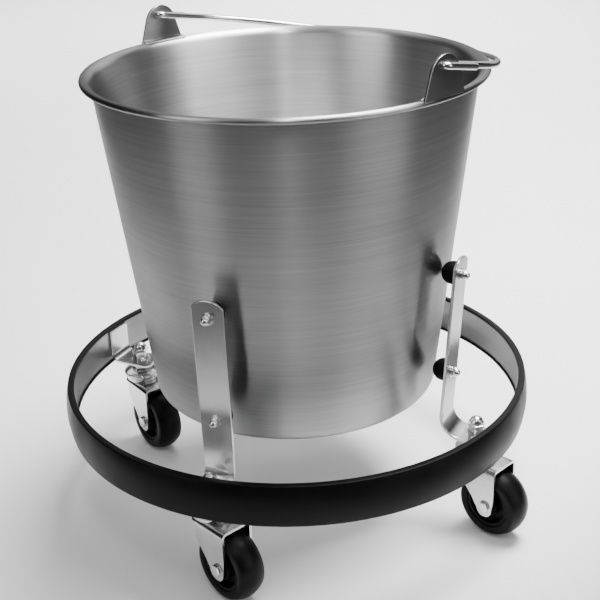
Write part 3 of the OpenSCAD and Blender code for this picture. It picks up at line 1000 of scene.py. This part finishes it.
half = wheel_w / 2
tread_r = 18.2
reach = degrees(asin((half - 1.4) / tread_r))
tread = arc(wheel_r - tread_r, 0, tread_r, -reach, reach, 22)
edge_x = tread[-1][0]
seat_edge = [(20.0, half), (19.4, half - 0.4), (19.0, half - 1.0)]
tread_edge = [(edge_x - 0.3, half - 0.7), (edge_x - 1.0, half - 0.25), (edge_x - 2.2, half)]
tyre_half = tread_edge + seat_edge
tyre_section = [(r, -y) for r, y in reversed(tyre_half)] + tread + tyre_half

hub_half = [(19.0, half - 1.3), (18.6, half - 1.0), (16.6, half - 1.0),
            (16.2, half - 1.4), (15.6, 4.8), (14.8, 4.1), (10.4, 4.1),
            (9.6, 4.8), (9.2, half - 0.5), (8.8, half), (5.3, half)]
hub_section = hub_half + [(r, -y) for r, y in reversed(hub_half)]

bush_in, bush_out, bush_end = axle_r + 0.09, 5.2, leg_y - 0.6
bush_section = rounded([(bush_in, -bush_end), (bush_out, -bush_end),
                        (bush_out, bush_end), (bush_in, bush_end)], 0.25)

for n in BRACKETS:
    stem = stem_frame(n)
    stem_m, axle_m = metres(stem), metres(axle_frame(n))
    collar = prism_bm(hex_outline(16, 0.8), race_top, tab_z - bar_t, 0.7)
    pin = lathe_bm(pin_section, 40, False)
    threads = lathe_bm(thread_section, 32, False)
    body = copies(f"caster_stem_part_{n}", [collar, pin, threads], [stem])
    place(body, [f"caster_stem_{n}"], "frame", "caster_zinc", ZINC)
    race = lathe(f"upper_race_cup_{n}", upper_race, 64, matrix=stem_m)
    place(race, [f"upper_race_{n}"], "frame", "caster_zinc", ZINC)

    fork = bevelled(finish_mesh(f"fork_stamping_{n}", fork_bm(), stem_m, 50), 0.35)
    place(fork, [f"fork_{n}"], f"caster_{n}", "caster_zinc", ZINC)
    lower = lathe(f"lower_race_ring_{n}", lower_race, 64, matrix=stem_m)
    place(lower, [f"fork_{n}"], f"caster_{n}", "caster_zinc", CHROME)

    head = prism_bm(hex_outline(head_flats, 0.5), fork_half, fork_half + head_h, 0.5)
    shank = lathe_bm(shank_section, 32, False)
    axle = copies(f"axle_bolt_{n}", [head, shank], [axle_frame(n)])
    place(axle, [f"axle_{n}"], f"caster_{n}", "fastener_chrome", CHROME)
    nut_bm = prism_bm(hex_outline(head_flats, 0.5), -fork_half - 3, -fork_half, 0.5)
    nut = finish_mesh(f"axle_hex_nut_{n}", nut_bm, axle_m)
    place(nut, [f"axle_nut_{n}"], f"caster_{n}", "fastener_chrome", CHROME)

    tyre = lathe(f"wheel_tyre_{n}", tyre_section, 96, matrix=axle_m)
    place(tyre, [f"tyre_{n}"], f"wheel_{n}", "wheel_tyre", TYRE)
    hub = lathe(f"wheel_hub_body_{n}", hub_section, 64, matrix=axle_m)
    place(hub, [f"wheel_hub_{n}"], f"wheel_{n}", "wheel_hub", HUB)
    bush = lathe(f"wheel_bush_tube_{n}", bush_section, 40, matrix=axle_m)
    place(bush, [f"wheel_bush_{n}"], f"wheel_{n}", "bush_steel", BUSH)
    balls = frame["nodes"][f"swivel_balls_{n}"]
    for material_slot in balls.material_slots:
        material_slot.material = CHROME


# ---------------------------------------------------------------- floor, light, camera
CAMERA_AZ = radians(-61)
view_dir = Vector((cos(CAMERA_AZ), sin(CAMERA_AZ), 0))
side_dir = Vector((-sin(CAMERA_AZ), cos(CAMERA_AZ), 0))

# The painted pool of light on the floor is an ellipse, in metres: how far back its middle
# lies, its two half lengths, and how far it is moved to the left under the object.
POOL_BACK, POOL_LONG, POOL_WIDE, POOL_LEFT = 2.6, 2.75, 0.83, 0.05
POOL_EDGE = 1.15
PALE, PAINTED_SHADE_GREY = 0.86, 0.05


def floor_material():
    """Pale paper with a painted pool of light under and behind the object.

    Painted light makes it a little lighter on the right. Outside the pool it fades to
    dark, painted shade."""
    mat, tree, shader = node_material("floor_pale_painted_pool")
    coords = object_coords(tree)
    turned = add(tree, "ShaderNodeMapping", {
        "Vector": coords, "Rotation": (0, 0, -CAMERA_AZ)}).outputs["Vector"]
    parts = add(tree, "ShaderNodeSeparateXYZ", {0: turned})
    front = node_math(tree, "ADD", parts.outputs["X"], POOL_BACK)
    skew = node_math(tree, "MULTIPLY", parts.outputs["X"], POOL_LEFT / POOL_BACK)
    aside = node_math(tree, "ADD", parts.outputs["Y"], node_math(tree, "ADD", skew, POOL_LEFT))
    flat = add(tree, "ShaderNodeCombineXYZ", {
        0: node_math(tree, "DIVIDE", front, POOL_LONG),
        1: node_math(tree, "DIVIDE", aside, POOL_WIDE)}).outputs[0]
    reach = add(tree, "ShaderNodeVectorMath", {0: flat}, operation="LENGTH").outputs["Value"]
    # Painted light and shade: the colour is pale inside the pool and fades to dark outside it.
    painted_pool_falloff = add(tree, "ShaderNodeMapRange", {
        "Value": reach, "From Min": 1.0, "From Max": POOL_EDGE,
        "To Min": PALE, "To Max": PAINTED_SHADE_GREY},
        interpolation_type="SMOOTHSTEP").outputs["Result"]
    mottle = remap(tree, noise(tree, coords, 3.0, 4.0), 0.97, 1.0)
    # Painted light: the floor's colour is made lighter towards the right.
    painted_right_light = remap(tree, parts.outputs["Y"], 0.91, 1.13, -0.35, 0.35)
    tone = node_math(tree, "MULTIPLY", node_math(tree, "MULTIPLY", painted_pool_falloff, mottle), painted_right_light)
    tree.links.new(tone, shader.inputs["Base Color"])
    shader.inputs["Roughness"].default_value = 0.75
    shader.inputs["Specular IOR Level"].default_value = 0.1
    return mat


floor_mesh = bpy.data.meshes.new("floor")
FLOOR_REACH = 80.0
floor_corners = [(FLOOR_REACH * x, FLOOR_REACH * y, 0)
                 for x, y in ((-1, -1), (1, -1), (1, 1), (-1, 1))]
floor_mesh.from_pydata(floor_corners, [], [(0, 1, 2, 3)])
floor = linked("floor", floor_mesh)
floor.data.materials.append(floor_material())

# Brightness of the room as the object sees it: degrees from the camera's direction
# round to the camera's right, and the grey there.
ROOM = ((-180, 0.6), (-160, 0.5), (-145, 0.02), (-100, 0.01), (-74, 0.03), (-64, 2.4),
        (-50, 2.4), (-38, 0.15), (-25, 0.01), (-8, 0.03), (10, 0.03), (28, 0.02), (50, 2.6),
        (66, 2.6), (78, 0.1), (90, 0.01), (128, 0.01), (138, 1.2), (162, 1.6), (180, 0.6))


def studio_world():
    """A dim studio: soft bands of light all round, and an even grey ceiling."""
    world = bpy.data.worlds.new("studio")
    bpy.context.scene.world = world
    world.use_nodes = True
    tree = world.node_tree
    coords = add(tree, "ShaderNodeTexCoord").outputs["Generated"]
    turned = add(tree, "ShaderNodeMapping", {
        "Vector": coords, "Rotation": (0, 0, -CAMERA_AZ)}).outputs["Vector"]
    parts = add(tree, "ShaderNodeSeparateXYZ", {0: turned})
    angle = node_math(tree, "ARCTAN2", parts.outputs["Y"], parts.outputs["X"])
    ramp = add(tree, "ShaderNodeValToRGB", {"Fac": remap(tree, angle, 0, 1, -pi, pi)})
    stops = ramp.color_ramp.elements
    while len(stops) < len(ROOM):
        stops.new(0.5)
    for stop, (degree, grey) in zip(stops, ROOM):
        stop.position = (degree + 180) / 360
        stop.color = (grey, grey, grey, 1)
    ceiling = 0.5
    height = remap(tree, parts.outputs["Z"], 0, 1, 0.55, 0.9)
    blend = add(tree, "ShaderNodeMix", {"Factor": height}, data_type="RGBA")
    tree.links.new(ramp.outputs["Color"], blend.inputs["A"])
    blend.inputs["B"].default_value = (ceiling, ceiling, ceiling, 1)
    tree.links.new(blend.outputs["Result"], tree.nodes["Background"].inputs["Color"])


studio_world()


def area_light(name, right, away, height, width, tall, power, aim, spread):
    """A soft box placed by the camera's right and away; aim is (right, away, up)."""
    data = bpy.data.lights.new(name, "AREA")
    data.shape = "RECTANGLE"
    data.size, data.size_y = width, tall
    data.energy = power
    data.spread = radians(spread)
    obj = linked(name, data)
    obj.location = side_dir * right - view_dir * away + Vector((0, 0, height))
    target = side_dir * aim[0] - view_dir * aim[1] + Vector((0, 0, aim[2]))
    obj.rotation_euler = (target - obj.location).to_track_quat("-Z", "Y").to_euler()


area_light("overhead", right=0.5, away=0.35, height=1.9, width=0.9, tall=0.9,
           power=47, aim=(0.1, 0.3, 0), spread=110)
area_light("backdrop", right=0.0, away=2.4, height=2.2, width=2.0, tall=1.5,
           power=62, aim=(0, 2.3, 0), spread=90)
area_light("front_strip", right=0.0, away=-1.3, height=2.1, width=0.1, tall=0.9,
           power=3, aim=(0, 0, 0.3), spread=100)

camera_data = bpy.data.cameras.new("camera")
LENS_MM, SENSOR_MM = 69.98, 36
camera_data.lens = LENS_MM
camera_data.sensor_width = SENSOR_MM
camera_data.clip_start = 0.01
camera = linked("camera", camera_data)
CAMERA_REACH = 0.87994
CAMERA_ABOVE_RING = 0.48386
pitch, yaw, roll = radians(24.054), radians(0.353), radians(-1.979)
away = -view_dir
forward = (away * cos(yaw) * cos(pitch) + side_dir * sin(yaw) * cos(pitch)
           - Vector((0, 0, 1)) * sin(pitch))
right = forward.cross(Vector((0, 0, 1))).normalized()
upward = right.cross(forward)
right, upward = (right * cos(roll) + upward * sin(roll),
                 upward * cos(roll) - right * sin(roll))
rotation = Matrix((right, upward, -forward)).transposed().to_4x4()
eye = view_dir * CAMERA_REACH + Vector((0, 0, ring_z * MM + CAMERA_ABOVE_RING))
camera.matrix_world = Matrix.Translation(eye) @ rotation
bpy.context.scene.camera = camera
